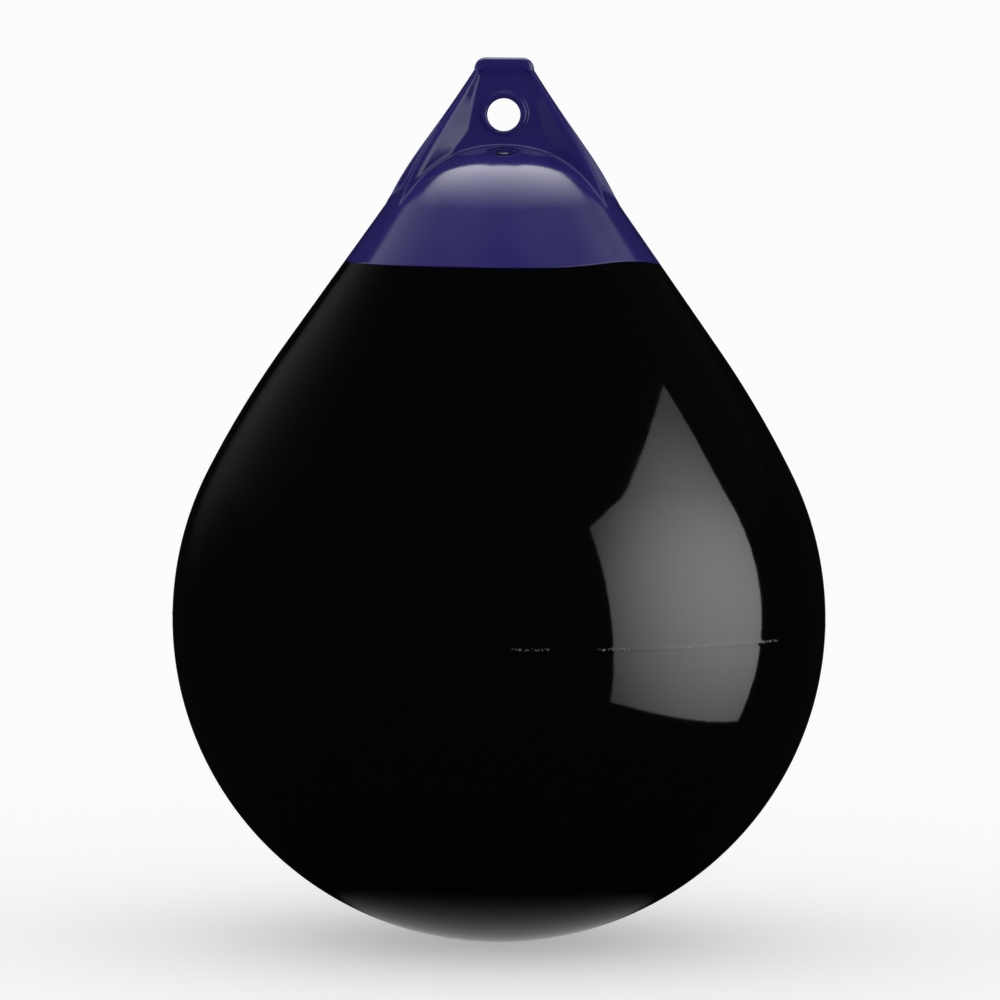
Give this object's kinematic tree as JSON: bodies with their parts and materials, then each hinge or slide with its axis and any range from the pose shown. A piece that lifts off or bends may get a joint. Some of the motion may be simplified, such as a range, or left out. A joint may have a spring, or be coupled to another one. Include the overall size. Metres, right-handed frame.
{
  "type": "mooring buoy",
  "caption": "Inflatable teardrop mooring buoy: a hollow black ball body running up into a blue solid rope head with a rope eye and a screw valve.",
  "frame": {"origin": "bottom of the body on the buoy's axis, the centre of the underside of its bounding box", "axes": "+Z along the buoy's axis up to the rope head; -Y the side with the valve, which the picture shows; +X to the viewer's right there"},
  "size_m": [0.52, 0.52, 0.7026],
  "materials": {
    "body_vinyl": "rotomoulded black flexible PVC, glossy, with faint scuffs",
    "head_vinyl": "moulded blue flexible PVC, glossy",
    "valve_plastic": "moulded blue nylon, satin",
    "seal_rubber": "black nitrile rubber"
  },
  "bodies": {
    "root": {"body_shell": "body_vinyl", "rope_head": "head_vinyl", "valve_bush": "valve_plastic"},
    "seal_carrier": {"valve_seal": "seal_rubber"},
    "screw": {"valve_screw": "valve_plastic"}
  },
  "joints": [
    {"name": "valve_lift", "type": "slide", "parent": "root", "child": "seal_carrier", "axis": [0, -0.2436, 0.9699], "range_m": [0, 0.008]},
    {"name": "valve_turn", "type": "hinge", "parent": "seal_carrier", "child": "screw", "pos_m": [0, -0.02802, 0.63055], "axis": [0, -0.2436, 0.9699], "range_deg": [0, 1441]}
  ],
  "couplings": [
    {"joint": "valve_turn", "follows": "valve_lift", "rad_per_m": 3141.6}
  ]
}
